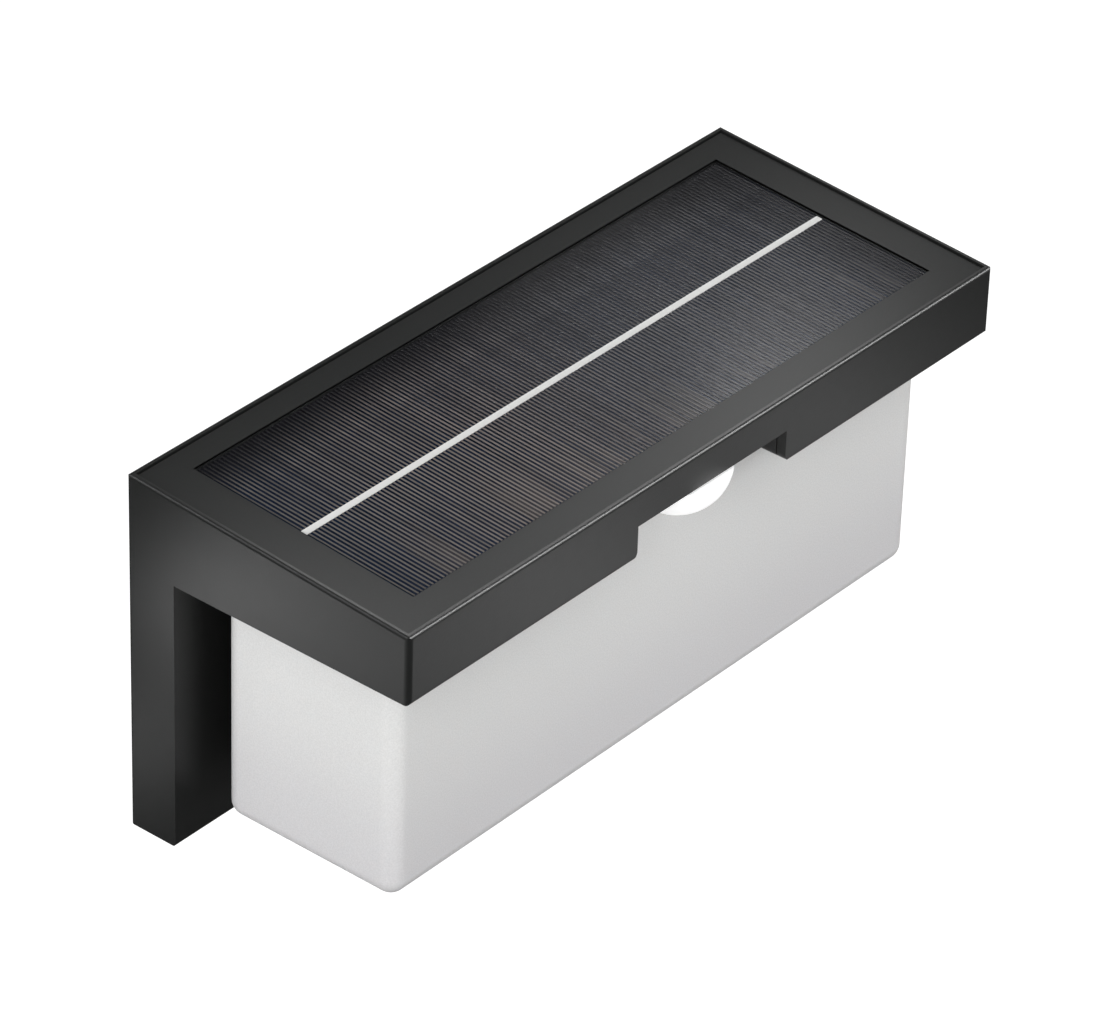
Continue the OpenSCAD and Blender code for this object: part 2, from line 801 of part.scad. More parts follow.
module diffuser() {
    color(opal_col)
        difference() {
            union() {
                difference() {
                    diffuser_solid(0, z_rim);
                    diffuser_solid(diffuser_wall, z_rim + cut);
                }
                block([-tab_w / 2, y_diffuser_front, z_under - boss_r], [tab_w / 2, y_tab_in, z_tab]);
                for (spot = diffuser_spots)
                    translate([spot.x, spot.y, z_under - diffuser_boss_h])
                        cylinder(h = diffuser_boss_h, r = boss_r);
            }
            bar_y(0, z_lens, lens_r + screw_gap, y_tab_in + cut, y_diffuser_front - cut);
            for (spot = diffuser_spots)
                translate([spot.x, spot.y, z_under - screw_l])
                    cylinder(h = screw_l + cut, r = screw_r + screw_gap);
        }
}

module diffuser_gasket() {
    color(rubber_col)
        difference() {
            union() {
                run_z(z_rim, z_under + groove_h)
                    diffuser_ring(fit_gap / 2);
                block([-notch_w / 2, y_diffuser_front, z_rim], [notch_w / 2, y_tab_in, z_house]);
            }
            block([-tab_w / 2, y_diffuser_front - 2 * cut, z_rim - cut],
                [tab_w / 2, y_tab_in + 2 * cut, z_tab]);
        }
}

module diffuser_screws() {
    color(steel_col)
        for (spot = diffuser_spots)
            translate([spot.x, spot.y, z_under + tray_t])
                pan_screw(screw_r, screw_l, screw_head_r, screw_head_h);
}

// Solar panel: backing board, cell, printed grid and clear cover

module roof_layer(l, w, z_from, z_to) {
    on_roof()
        block([-l / 2, roof_mid - w / 2, z_from], [l / 2, roof_mid + w / 2, z_to]);
}

z_cover = -rim_h - cover_t;
z_backing = z_cover - backing_t;

module panel_seal() {
    color(rubber_col)
        difference() {
            roof_layer(panel_l, panel_w, -recess_h, z_backing);
            roof_layer(panel_l - 2 * panel_seal_w, panel_w - 2 * panel_seal_w,
                -recess_h - cut, z_backing + cut);
        }
}

module panel_backing() {
    color(housing_col)
        roof_layer(panel_l, panel_w, z_backing, z_cover);
}

module cell_plate(shrink, z_from, z_to) {
    on_roof()
        translate([cell_mid.x, cell_mid.y, 0])
            block([-cell_l / 2 + shrink, -cell_w / 2 + shrink, z_from],
                [cell_l / 2 - shrink, cell_w / 2 - shrink, z_to]);
}

module solar_cell() {
    color(cell_col)
        cell_plate(0, z_cover, z_cover + cell_t);
}

// One busbar along the cell, crossed by the fingers
module cell_grid() {
    grid_l = cell_l - 2 * grid_margin;
    grid_w = cell_w - 2 * grid_margin;
    steps = floor((grid_l - finger_w) / finger_pitch);
    z_grid = z_cover + cell_t;
    color(grid_col)
        on_roof()
            translate([cell_mid.x, cell_mid.y, 0]) {
                block([-grid_l / 2, -busbar_w / 2, z_grid], [grid_l / 2, busbar_w / 2, z_grid + grid_t]);
                for (i = [0:steps]) {
                    x = (i - steps / 2) * finger_pitch;
                    block([x - finger_w / 2, -grid_w / 2, z_grid],
                        [x + finger_w / 2, grid_w / 2, z_grid + grid_t]);
                }
            }
}

module panel_cover() {
    color(cell_col, 0.35)
        difference() {
            roof_layer(panel_l, panel_w, z_cover, -rim_h);
            cell_plate(0, z_cover - cut, z_cover + cell_t + grid_t);
        }
}

// Lamp: reflector plate, LED board and LEDs, facing down

module reflector_plan(inset) {
    edge = diffuser_wall + reflector_gap + inset;
    translate([-diffuser_l / 2 + edge, y_diffuser_front + edge])
        square([diffuser_l - 2 * edge, diffuser_w - 2 * edge]);
}

module reflector() {
    color(white_col)
        difference() {
            union() {
                run_z(z_bay - reflector_t, z_bay)
                    reflector_plan(0);
                run_z(z_bay - reflector_t - reflector_rim_h, z_bay - reflector_t + root)
                    difference() {
                        reflector_plan(0);
                        reflector_plan(reflector_t);
                    }
                for (spot = post_spots)
                    translate([spot.x, spot.y, z_bay - root])
                        cylinder(h = post_h + root, r = post_r);
            }
            for (spot = diffuser_spots)
                translate([spot.x, spot.y, z_bay - reflector_t - reflector_rim_h - cut])
                    cylinder(h = reflector_t + reflector_rim_h + 2 * cut, r = boss_r + reflector_gap);
            mirror_x()
                block([diffuser_l / 2 - boss_inset, y_diffuser_front,
                    z_bay - reflector_t - reflector_rim_h - cut],
                    [diffuser_l / 2, y_diffuser_back, z_bay + cut]);
            for (spot = bay_spots)
                translate([spot.x, spot.y, z_bay - reflector_t - cut])
                    cylinder(h = reflector_t + 2 * cut, r = screw_r + pass_gap);
            for (spot = post_spots)
                translate([spot.x, spot.y, z_bay])
                    cylinder(h = post_h + cut, r = small_screw_r + screw_gap);
            translate([led_lead_x, y_bay_mid, z_bay - reflector_t - cut])
                cylinder(h = reflector_t + 2 * cut, r = lead_pitch + lead_r);
        }
}

module reflector_screws() {
    color(steel_col)
        for (spot = bay_spots)
            translate([spot.x, spot.y, z_bay - reflector_t])
                rotate([180, 0, 0])
                    pan_screw(screw_r, screw_l, screw_head_r, screw_head_h);
}

module led_board() {
    color(white_col)
        block([-led_board_l / 2, y_bay_mid - led_board_w / 2, z_led_board],
            [led_board_l / 2, y_bay_mid + led_board_w / 2, z_led_board + board_t]);
}

module leds() {
    pitch = (led_board_l - led_w) / led_n;
    color("#f3e3a0")
        for (i = [0:led_n - 1])
            translate([(i - (led_n - 1) / 2) * pitch, y_bay_mid, z_led_board - led_t / 2])
                cube([led_l, led_w, led_t], center = true);
}

// Battery in its cradle

module battery() {
    can_h = battery_l - battery_tip_l;
    color(wrap_col)
        translate([battery_x, y_bay_mid, z_battery])
            rotate([0, 90, 0]) {
                cylinder(h = can_h, r = battery_dia / 2);
                cylinder(h = can_h + battery_tip_l, r = battery_tip_r);
            }
}

module battery_cradle() {
    saddle_h = cradle_floor_t + battery_dia / 4;
    color(chip_col)
        difference() {
            union() {
                block([cradle_x, y_bay_mid - cradle_w / 2, z_bay],
                    [cradle_x + cradle_l, y_bay_mid + cradle_w / 2, z_bay + cradle_floor_t]);
                for (x = [cradle_x, cradle_x + cradle_l - cradle_wall])
                    block([x, y_bay_mid - cradle_w / 2, z_bay],
                        [x + cradle_wall, y_bay_mid + cradle_w / 2, z_bay + cradle_h]);
                for (share = [1 / 4, 3 / 4])
                    translate([cradle_x + cradle_l * share, y_bay_mid, z_bay + saddle_h / 2])
                        cube([2 * cradle_wall, cradle_w, saddle_h], center = true);
            }
            translate([battery_x - root, y_bay_mid, z_battery])
                rotate([0, 90, 0])
                    cylinder(h = battery_l + 2 * root, r = battery_dia / 2 + cradle_gap);
        }
}

module battery_contacts() {
    color(steel_col)
        for (end = [0, 1])
            translate([end == 0 ? cradle_x + cradle_wall : cradle_x + cradle_l - cradle_wall,
                y_bay_mid, z_battery])
                mirror([end, 0, 0]) {
                    block([0, -contact_w / 2, -contact_w / 2], [contact_t, contact_w / 2, cradle_h / 2]);
                    rotate([0, 90, 0])
                        cylinder(h = contact_room, r = contact_pad_r);
                }
}

// Controller board and what stands on it

module controller_board() {
    color(board_col)
        difference() {
            block([board_x, y_bay_mid - board_w / 2, z_board],
                [board_x + board_l, y_bay_mid + board_w / 2, z_board + board_t]);
            for (spot = post_spots)
                translate([spot.x, spot.y, z_board - cut])
                    cylinder(h = board_t + 2 * cut, r = small_screw_r + pass_gap);
        }
}

socket_l = 6;
socket_w = 4.5;
socket_h = 5.5;
socket_wall = 0.8;
chip_l = 6;
chip_w = 5;
chip_h = 1.6;
coil_r = 3;
coil_h = 4;
capacitor_r = 2.5;
capacitor_h = 7;
z_parts = z_board + board_t;

socket_spots = [for (share = socket_shares) [board_x + board_l * share, y_bay_mid - board_w / 4]];
led_lead_x = led_board_l / 2 - led_board_w / 4;

module board_components() {
    color(chip_col) {
        for (spot = socket_spots)
            translate([spot.x, spot.y, z_parts])
                difference() {
                    translate([-socket_l / 2, -socket_w / 2, 0])
                        cube([socket_l, socket_w, socket_h]);
                    translate([-socket_l / 2 + socket_wall, -socket_w / 2 + socket_wall, socket_h / 3])
                        cube([socket_l - 2 * socket_wall, socket_w - 2 * socket_wall, socket_h]);
                }
        for (share = chip_shares)
            translate([board_x + board_l * share, y_bay_mid + board_w / 4, z_parts + chip_h / 2])
                cube([chip_l, chip_w, chip_h], center = true);
        translate([board_x + board_l * coil_share, y_bay_mid + board_w / 5, z_parts])
            cylinder(h = coil_h, r = coil_r);
        translate([board_x + board_l * capacitor_share, y_bay_mid, z_parts])
            cylinder(h = capacitor_h, r = capacitor_r);
    }
}

module board_screws() {
    color(steel_col)
        for (spot = post_spots)
            translate([spot.x, spot.y, z_parts])
                pan_screw(small_screw_r, small_screw_l, small_head_r, small_head_h);
}

// Motion sensor: half-dome lens, holder, sensor can and its board

module lens_form(r, y_from) {
    translate([0, y_diffuser_front - lens_skirt, z_lens])
        sphere(r = r);
    bar_y(0, z_lens, r, y_from, y_diffuser_front - lens_skirt);
}

module sensor_lens() {
    color("white")
        intersection() {
            difference() {
                union() {
                    lens_form(lens_r, y_holder);
                    bar_y(0, z_lens, lens_r + lens_flange_w, y_holder, y_tab_in);
                }
                intersection() {
                    lens_form(lens_r - lens_wall, y_holder + cut);
                    block([-notch_w, -housing_d - lens_r, z_under - lens_r],
                        [notch_w, 0, z_lens_flat - lens_wall]);
                }
                block([-notch_w, y_holder, z_under - lens_r], [notch_w, 0, z_house + lens_r]);
            }
            block([-notch_w, -housing_d - lens_r, z_under - lens_r], [notch_w, 0, z_lens_flat]);
        }
}

module sensor_holder() {
    window_r = can_r - lens_wall;
    y_back = y_holder + holder_d;
    color(chip_col)
        difference() {
            block([-holder_l / 2, y_holder, z_under - holder_drop], [holder_l / 2, y_back, z_house]);
            bar_y(0, z_can, can_r + screw_gap, y_back - can_base_t - can_l, y_back + cut);
            bar_y(0, z_can, can_base_r + screw_gap, y_back - can_base_t, y_back + cut);
            bar_y(0, z_can, window_r, y_holder - cut, y_back - can_l);
        }
}

module sensor_can() {
    y_base = y_holder + holder_d;
    color(steel_col)
        difference() {
            union() {
                bar_y(0, z_can, can_r, y_base - can_base_t - can_l, y_base);
                bar_y(0, z_can, can_base_r, y_base - can_base_t, y_base);
            }
            translate([0, y_base - can_base_t - can_l, z_can])
                cube([filter_w, 2 * filter_t, filter_w], center = true);
        }
}

module sensor_filter() {
    color(cell_col)
        translate([0, y_holder + holder_d - can_base_t - can_l + filter_t / 2, z_can])
            cube([filter_w, filter_t, filter_w], center = true);
}

module sensor_board() {
    y_face = y_holder + holder_d;
    color(board_col)
        block([-holder_l / 2, y_face, z_under - holder_drop + board_t],
            [holder_l / 2, y_face + board_t, z_house - board_t]);
}

// Mode button in the foot of the leg, with the switch behind it

module mode_button() {
    color(rubber_col)
        translate([button_x, y_button, 0])
            rotate_extrude()
                polygon([
                    [0, z_foot - button_proud], [button_r - button_proud / 2, z_foot - button_proud],
                    [button_r, z_foot - button_proud / 2], [button_r, z_flange_top - button_flange_t],
                    [flange_r, z_flange_top - button_flange_t], [flange_r, z_flange_top], [0, z_flange_top]
                ]);
}

module button_seal() {
    color(rubber_col)
        translate([button_x, y_button, z_foot_in])
            difference() {
                cylinder(h = button_seal_t, r = flange_r + button_gap);
                translate([0, 0, -cut])
                    cylinder(h = button_seal_t + 2 * cut, r = button_r + button_gap / 2);
            }
}

module switch_plunger() {
    color(white_col)
        translate([button_x, y_button, z_flange_top])
            cylinder(h = z_switch - z_flange_top + plunger_in, r = plunger_r);
}

module switch_body() {
    color(chip_col)
        difference() {
            block([button_x - switch_w / 2, y_button - switch_w / 2, z_switch],
                [button_x + switch_w / 2, y_button + switch_w / 2, z_switch_board]);
            translate([button_x, y_button, z_switch - cut])
                cylinder(h = plunger_in + button_travel + root + cut, r = plunger_r + screw_gap);
        }
}

module switch_board() {
    color(board_col)
        difference() {
            block([button_x - switch_board_l / 2, y_button - switch_board_w / 2, z_switch_board],
                [button_x + switch_board_l / 2, y_button + switch_board_w / 2, z_switch_board + board_t]);
            for (s = [-1, 1])
                translate([button_x + s * peg_x, y_button, z_switch_board - cut])
                    cylinder(h = board_t + 2 * cut, r = small_screw_r + screw_gap);
        }
}

// Leads: round tubes swept along smooth curves through their points

function spline(a, b, c, d, t) = (2 * b + (c - a) * t + (2 * a - 5 * b + 4 * c - d) * t * t
    + (3 * b - a - 3 * c + d) * t * t * t) / 2;
function smooth(points) = [
    for (i = [0:len(points) - 2], k = [0:lead_steps - 1])
        spline(points[max(i - 1, 0)], points[i], points[i + 1], points[min(i + 2, len(points) - 1)],
            k / lead_steps),
    points[len(points) - 1]
];
// The way a lead heads at each step. Its two ends stand square on what they meet
function headings(path, points) = [
    unit(points[1] - points[0]),
    for (i = [1:len(path) - 2]) unit(path[i + 1] - path[i - 1]),
    unit(points[len(points) - 1] - points[len(points) - 2])
];
function square_to(side, way) = unit(side - (side * way) * way);
function sides_along(ways) = [
    for (i = 0, side = square_to([1, 1, 1] - ways[0] / 2, ways[0]); i < len(ways);
        i = i + 1, side = i < len(ways) ? square_to(side, ways[i]) : side)
        side
];

module tube(points, r) {
    path = smooth(points);
    ways = headings(path, points);
    sides = sides_along(ways);
    n = lead_sides;
    rings = [for (i = [0:len(path) - 1], k = [0:n - 1])
        let (other = cross(ways[i], sides[i]), a = 360 * k / n)
            path[i] + r * (sides[i] * cos(a) + other * sin(a))];
    last = (len(path) - 1) * n;
    walls = [for (i = [0:len(path) - 2], k = [0:n - 1])
        let (a = i * n + k, b = i * n + (k + 1) % n)
            each [[a, a + n, b + n], [a, b + n, b]]];
    caps = [[for (k = [0:n - 1]) k], [for (k = [n - 1:-1:0]) last + k]];
    polyhedron(rings, concat(walls, caps));
}

// The floor of a socket, its mouth, and a point well above it
function in_socket(i) = [socket_spots[i].x, socket_spots[i].y, z_parts + socket_h / 3];
function at_socket(i) = [socket_spots[i].x, socket_spots[i].y, z_parts + socket_h];
function over_socket(i) = [socket_spots[i].x, socket_spots[i].y, z_parts + 2 * socket_h];

module lead_pair(points, offset) {
    for (s = [-1, 1])
        tube([for (p = points) p + offset * s * lead_pitch / 2], lead_r);
}

module panel_leads() {
    start = at_roof([socket_spots[2].x, y_bay_mid / cos(tilt), z_backing]);
    down = at_roof([socket_spots[2].x, y_bay_mid / cos(tilt), z_backing - 2 * lead_hole_r]);
    color(rubber_col)
        lead_pair([start, down, over_socket(2), in_socket(2)], [1, 0, 0]);
}

module battery_leads() {
    y_side = y_bay_front + bay_wall + 2 * lead_r + fit_gap;
    z_start = z_battery + cradle_h / 2;
    z_over = z_battery + battery_dia / 2 + 2 * lead_r;
    x_left = cradle_x + cradle_wall + contact_t / 2;
    x_right = cradle_x + cradle_l - cradle_wall - contact_t / 2;
    lane = [0, lead_pitch / 2, 0];
    color(rubber_col) {
        tube([
            [x_left, y_bay_mid, z_start],
            [x_left, y_bay_mid, z_over],
            [x_left + battery_dia / 3, (y_bay_mid + y_side) / 2, z_over],
            [battery_x + battery_l / 4, y_side, z_over - lead_pitch],
            [battery_x + battery_l, y_side, z_over - lead_pitch],
            over_socket(0) - 2 * lane,
            at_socket(0) - lane,
            in_socket(0) - lane
        ], lead_r);
        tube([
            [x_right, y_bay_mid, z_start],
            [x_right, y_bay_mid, z_over],
            [board_x, y_bay_mid - lead_pitch, z_over],
            over_socket(0) + 2 * lane,
            at_socket(0) + lane,
            in_socket(0) + lane
        ], lead_r);
    }
}

module led_leads() {
    x_pad = board_x + board_l * pad_share;
    color(rubber_col)
        lead_pair([
            [x_pad, y_bay_mid, z_parts],
            [x_pad, y_bay_mid, z_parts + 2 * post_r],
            [(x_pad + led_lead_x) / 2, y_bay_mid, z_parts + 2 * post_r],
            [led_lead_x, y_bay_mid, z_board],
            [led_lead_x, y_bay_mid, z_bay - reflector_t]
        ], [0, 1, 0]);
}

module switch_leads() {
    x = socket_spots[1].x;
    z_start = z_switch_board + board_t;
    z_over = z_under + tray_t + boss_r;
    z_step = (z_over - z_start) / 4;
    color(rubber_col)
        lead_pair([
            [x, y_button, z_start],
            [x, y_button, z_start + z_step],
            [x, y_button, z_start + 2 * z_step],
            [x, y_button, z_start + 3 * z_step],
            [x, y_button - lead_pitch, z_over],
            [x, y_button - lead_pitch - z_step / 2, z_over + lead_pitch],
            [x, y_bay_back - boss_r, z_over + lead_pitch],
            over_socket(1),
            in_socket(1)
        ], [1, 0, 0]);
}

module sensor_leads() {
    y_back = y_holder + holder_d + board_t;
    z_over = z_under + tray_t + 2 * lead_r + fit_gap;
    x = board_x + board_l * sensor_share;
    color(rubber_col)
        lead_pair([
            [x, y_back, z_over],
            [x, y_bay_front + bay_wall, z_over],
            [x, y_bay_mid - board_w / 4, z_over - lead_pitch],
            [x, y_bay_mid, z_parts + 2 * post_r],
            [x, y_bay_mid, z_parts]
        ], [1, 0, 0]);
}

housing();
back_cover();
back_seal();
back_screws();
base_tray();
tray_screws();
diffuser();
diffuser_gasket();
diffuser_screws();
panel_seal();
panel_backing();
solar_cell();
cell_grid();
panel_cover();
reflector();
reflector_screws();
led_board();
leds();
battery();
battery_cradle();
battery_contacts();
controller_board();
board_components();
board_screws();
sensor_lens();
sensor_holder();
sensor_can();
sensor_filter();
sensor_board();
mode_button();
button_seal();
switch_plunger();
switch_body();
switch_board();
panel_leads();
battery_leads();
led_leads();
switch_leads();
sensor_leads();
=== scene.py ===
import bpy
import bmesh
import json
import math
from mathutils import Matrix, Vector

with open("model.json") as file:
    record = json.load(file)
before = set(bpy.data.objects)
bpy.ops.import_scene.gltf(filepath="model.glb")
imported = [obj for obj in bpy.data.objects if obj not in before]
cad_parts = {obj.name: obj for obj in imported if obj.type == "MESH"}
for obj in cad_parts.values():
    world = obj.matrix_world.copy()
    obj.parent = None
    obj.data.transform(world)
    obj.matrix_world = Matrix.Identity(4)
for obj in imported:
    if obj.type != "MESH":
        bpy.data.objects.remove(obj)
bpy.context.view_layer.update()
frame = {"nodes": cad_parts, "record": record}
print("frame loaded:", len(frame["nodes"]), "nodes")


# small helpers for node trees

def addNode(tree, kind, **settings):
    node = tree.nodes.new(kind)
    for name, value in settings.items():
        setattr(node, name, value)
    return node


def feed(tree, target, source):
    # source is an output socket or a plain value
    if isinstance(source, bpy.types.NodeSocket):
        tree.links.new(source, target)
    else:
        target.default_value = source


def mathNode(tree, operation, *values, clamp=False):
    node = addNode(tree, "ShaderNodeMath", operation=operation, use_clamp=clamp)
    for socket, value in zip(node.inputs, values):
        feed(tree, socket, value)
    return node.outputs[0]


def mixColours(tree, factor, first, second):
    node = addNode(tree, "ShaderNodeMix", data_type="RGBA")
    feed(tree, node.inputs[0], factor)
    for socket, value in zip(node.inputs[6:8], (first, second)):
        feed(tree, socket, value if isinstance(value, bpy.types.NodeSocket) else (*value[:3], 1))
    return node.outputs[2]


def scaleColour(tree, colour, factor):
    node = addNode(tree, "ShaderNodeVectorMath", operation="SCALE")
    feed(tree, node.inputs[0], colour)
    feed(tree, node.inputs["Scale"], factor)
    return node.outputs[0]


def spread(tree, value, fromLow, fromHigh, toLow, toHigh, smooth=False):
    node = addNode(tree, "ShaderNodeMapRange", interpolation_type="SMOOTHSTEP" if smooth else "LINEAR")
    for socket, number in zip(node.inputs, (value, fromLow, fromHigh, toLow, toHigh)):
        feed(tree, socket, number)
    return node.outputs[0]


def objectPlace(tree):
    return addNode(tree, "ShaderNodeTexCoord").outputs["Object"]


def noise(tree, where, scale, detail=3.0, stretch=None):
    if stretch:
        mapping = addNode(tree, "ShaderNodeMapping")
        feed(tree, mapping.inputs["Vector"], where)
        mapping.inputs["Scale"].default_value = stretch
        where = mapping.outputs[0]
    node = addNode(tree, "ShaderNodeTexNoise")
    feed(tree, node.inputs["Vector"], where)
    feed(tree, node.inputs["Scale"], scale)
    node.inputs["Detail"].default_value = detail
    return node.outputs[0]


# most of a noise texture lies between these two values
noiseLow, noiseHigh = 0.3, 0.7


def vary(tree, texture, span):
    return spread(tree, texture, noiseLow, noiseHigh, *span)


def alongAxis(tree, where, axis):
    # how far a point lies along a direction
    node = addNode(tree, "ShaderNodeVectorMath", operation="DOT_PRODUCT")
    feed(tree, node.inputs[0], where)
    node.inputs[1].default_value = axis
    return node.outputs["Value"]


def startGroup(name, inputs, outputs):
    tree = bpy.data.node_groups.new(name, "ShaderNodeTree")
    for label, kind, value in inputs:
        socket = tree.interface.new_socket(name=label, in_out="INPUT", socket_type=kind)
        socket.default_value = value
    for label, kind in outputs:
        tree.interface.new_socket(name=label, in_out="OUTPUT", socket_type=kind)
    return tree, tree.nodes.new("NodeGroupInput").outputs, tree.nodes.new("NodeGroupOutput").inputs


def bumpFrom(tree, height, strength, distance):
    node = addNode(tree, "ShaderNodeBump")
    feed(tree, node.inputs["Strength"], strength)
    node.inputs["Distance"].default_value = distance
    feed(tree, node.inputs["Height"], height)
    return node.outputs[0]


colourIn, floatIn, vectorOut = "NodeSocketColor", "NodeSocketFloat", "NodeSocketVector"
skinOutputs = [("Tone", colourIn), ("Sheen", floatIn), ("Normal", vectorOut)]


# moulded plastic: spark-eroded grain, slow tone drift and slightly uneven sheen

mouldedLook = {"slow": 14, "slowDetail": 4, "grainDetail": 2, "middle": 420, "uneven": (-0.01, 0.01),
               "speck": (0.94, 1.06), "bump": 0.00012}


def makeMouldedSkin():
    look = mouldedLook
    tree, given, made = startGroup("mouldedSkin", [
        ("Tone", colourIn, (0.5, 0.5, 0.5, 1)), ("Drift", floatIn, 0.1), ("Grain", floatIn, 2200),
        ("Depth", floatIn, 0.2), ("Sheen", floatIn, 0.4)], skinOutputs)
    where = objectPlace(tree)
    drift = vary(tree, noise(tree, where, look["slow"], look["slowDetail"]), (-1, 1))
    gain = mathNode(tree, "MULTIPLY_ADD", drift, given["Drift"], 1.0)
    fine = noise(tree, where, given["Grain"], look["grainDetail"])
    speck = vary(tree, fine, look["speck"])
    feed(tree, made["Tone"], scaleColour(tree, given["Tone"], mathNode(tree, "MULTIPLY", gain, speck)))
    uneven = vary(tree, noise(tree, where, look["middle"]), look["uneven"])
    feed(tree, made["Sheen"], mathNode(tree, "ADD", given["Sheen"], uneven))
    feed(tree, made["Normal"], bumpFrom(tree, fine, given["Depth"], look["bump"]))
    return tree


# plated metal: fine drawn lines and faint blotches

platedLook = {"lines": 900, "linesDetail": 2, "stretch": (1, 8, 1), "blotch": 160, "blotchDetail": 4,
              "tones": (0.86, 1.08), "sheens": (-0.08, 0.1), "depth": 0.15, "bump": 0.00005}


def makePlatedSkin():
    look = platedLook
    tree, given, made = startGroup("platedSkin", [
        ("Tone", colourIn, (0.6, 0.6, 0.6, 1)), ("Sheen", floatIn, 0.3)], skinOutputs)
    where = objectPlace(tree)
    lines = noise(tree, where, look["lines"], look["linesDetail"], look["stretch"])
    blotch = noise(tree, where, look["blotch"], look["blotchDetail"])
    feed(tree, made["Tone"], scaleColour(tree, given["Tone"], vary(tree, blotch, look["tones"])))
    feed(tree, made["Sheen"], mathNode(tree, "ADD", given["Sheen"], vary(tree, lines, look["sheens"])))
    feed(tree, made["Normal"], bumpFrom(tree, lines, look["depth"], look["bump"]))
    return tree


# circuit board: solder mask over copper tracks

trackLook = {"scale": 160, "width": 0.05, "cloud": 300, "sheens": (0.28, 0.4), "depth": 0.3,
             "bump": 0.00005}


def makeTrackPattern():
    look = trackLook
    tree, given, made = startGroup("trackPattern", [
        ("Mask", colourIn, (0.02, 0.12, 0.06, 1)), ("Track", colourIn, (0.05, 0.25, 0.12, 1))], skinOutputs)
    where = objectPlace(tree)
    brick = addNode(tree, "ShaderNodeTexBrick")
    feed(tree, brick.inputs["Vector"], where)
    brick.inputs["Scale"].default_value = look["scale"]
    brick.inputs["Mortar Size"].default_value = look["width"]
    track = brick.outputs["Fac"]
    feed(tree, made["Tone"], mixColours(tree, track, given["Mask"], given["Track"]))
    feed(tree, made["Sheen"], vary(tree, noise(tree, where, look["cloud"]), look["sheens"]))
    feed(tree, made["Normal"], bumpFrom(tree, track, look["depth"], look["bump"]))
    return tree


skins = {"moulded": makeMouldedSkin(), "plated": makePlatedSkin(), "tracks": makeTrackPattern()}
print("skin groups made:", ", ".join(skins))


def startMaterial(name):
    material = bpy.data.materials.new(name)
    material.use_nodes = True
    tree = material.node_tree
    return material, tree, tree.nodes["Principled BSDF"]


def useSkin(tree, shader, kind, **values):
    skin = addNode(tree, "ShaderNodeGroup", node_tree=skins[kind])
    for label, value in values.items():
        feed(tree, skin.inputs[label], (*value, 1) if isinstance(value, tuple) else value)
    tree.links.new(skin.outputs["Tone"], shader.inputs["Base Color"])
    tree.links.new(skin.outputs["Sheen"], shader.inputs["Roughness"])
    tree.links.new(skin.outputs["Normal"], shader.inputs["Normal"])


def plastic(name, tone, sheen, drift=0.08, grain=2200.0, depth=0.2, shine=0.5, coat=0.0, coatSheen=0.15):
    material, tree, shader = startMaterial(name)
    useSkin(tree, shader, "moulded", Tone=tone, Drift=drift, Grain=grain, Depth=depth, Sheen=sheen)
    shader.inputs["Specular IOR Level"].default_value = shine
    shader.inputs["Coat Weight"].default_value = coat
    shader.inputs["Coat Roughness"].default_value = coatSheen
    return material


def metal(name, tone, sheen):
    material, tree, shader = startMaterial(name)
    useSkin(tree, shader, "plated", Tone=tone, Sheen=sheen)
    shader.inputs["Metallic"].default_value = 1.0
    return material


def board(name, mask, track):
    material, tree, shader = startMaterial(name)
    useSkin(tree, shader, "tracks", Mask=mask, Track=track)
    return material


# housing: dark charcoal, satin, with a faint cool tint

housingLook = {"tone": (0.0112, 0.0117, 0.0114), "sheen": 0.36, "drift": 0.05, "grain": 2400.0,
               "depth": 0.08, "shine": 0.3}


def makeHousingPlastic():
    return plastic("housingPlastic", **housingLook)


# diffuser: opal plastic with painted light, whiter towards the reflector at the top and darker below, and
# with light spread under the skin

diffuserLook = {"paintedLightTop": (0.75, 0.745, 0.735), "paintedShadeBottom": (0.63, 0.62, 0.63),
                "zLow": -0.03, "zHigh": 0.012, "sheen": 0.55, "drift": 0.012, "grain": 3000.0,
                "depth": 0.05, "shine": 0.35,
                "spreadWeight": 0.35, "spreadReach": (1.0, 0.9, 0.85), "spreadRadius": 0.006}


def makeOpalPlastic():
    look = diffuserLook
    material, tree, shader = startMaterial("opalPlastic")
    # painted light: the tone is paler towards the top, as if lit by the reflector inside, and darker below
    height = alongAxis(tree, objectPlace(tree), (0, 0, 1))
    paintedLightShare = spread(tree, height, look["zLow"], look["zHigh"], 0, 1, True)
    tone = mixColours(tree, paintedLightShare, look["paintedShadeBottom"], look["paintedLightTop"])
    useSkin(tree, shader, "moulded", Tone=tone, Drift=look["drift"], Grain=look["grain"],
            Depth=look["depth"], Sheen=look["sheen"])
    shader.inputs["Subsurface Weight"].default_value = look["spreadWeight"]
    shader.inputs["Subsurface Radius"].default_value = look["spreadReach"]
    shader.inputs["Subsurface Scale"].default_value = look["spreadRadius"]
    shader.inputs["Specular IOR Level"].default_value = look["shine"]
    return material


# sensor lens: milky white with faint facets, and a painted glow from its own emission, though it is no lamp

lensLook = {"tone": (0.95, 0.95, 0.945), "cloud": 60, "tones": (0.98, 1.0), "facets": 260.0, "depth": 0.05,
            "bump": 0.0002, "haze": 500, "sheens": (0.32, 0.42), "glow": 0.42, "spreadWeight": 0.3,
            "spreadReach": (1, 1, 1), "spreadRadius": 0.003}


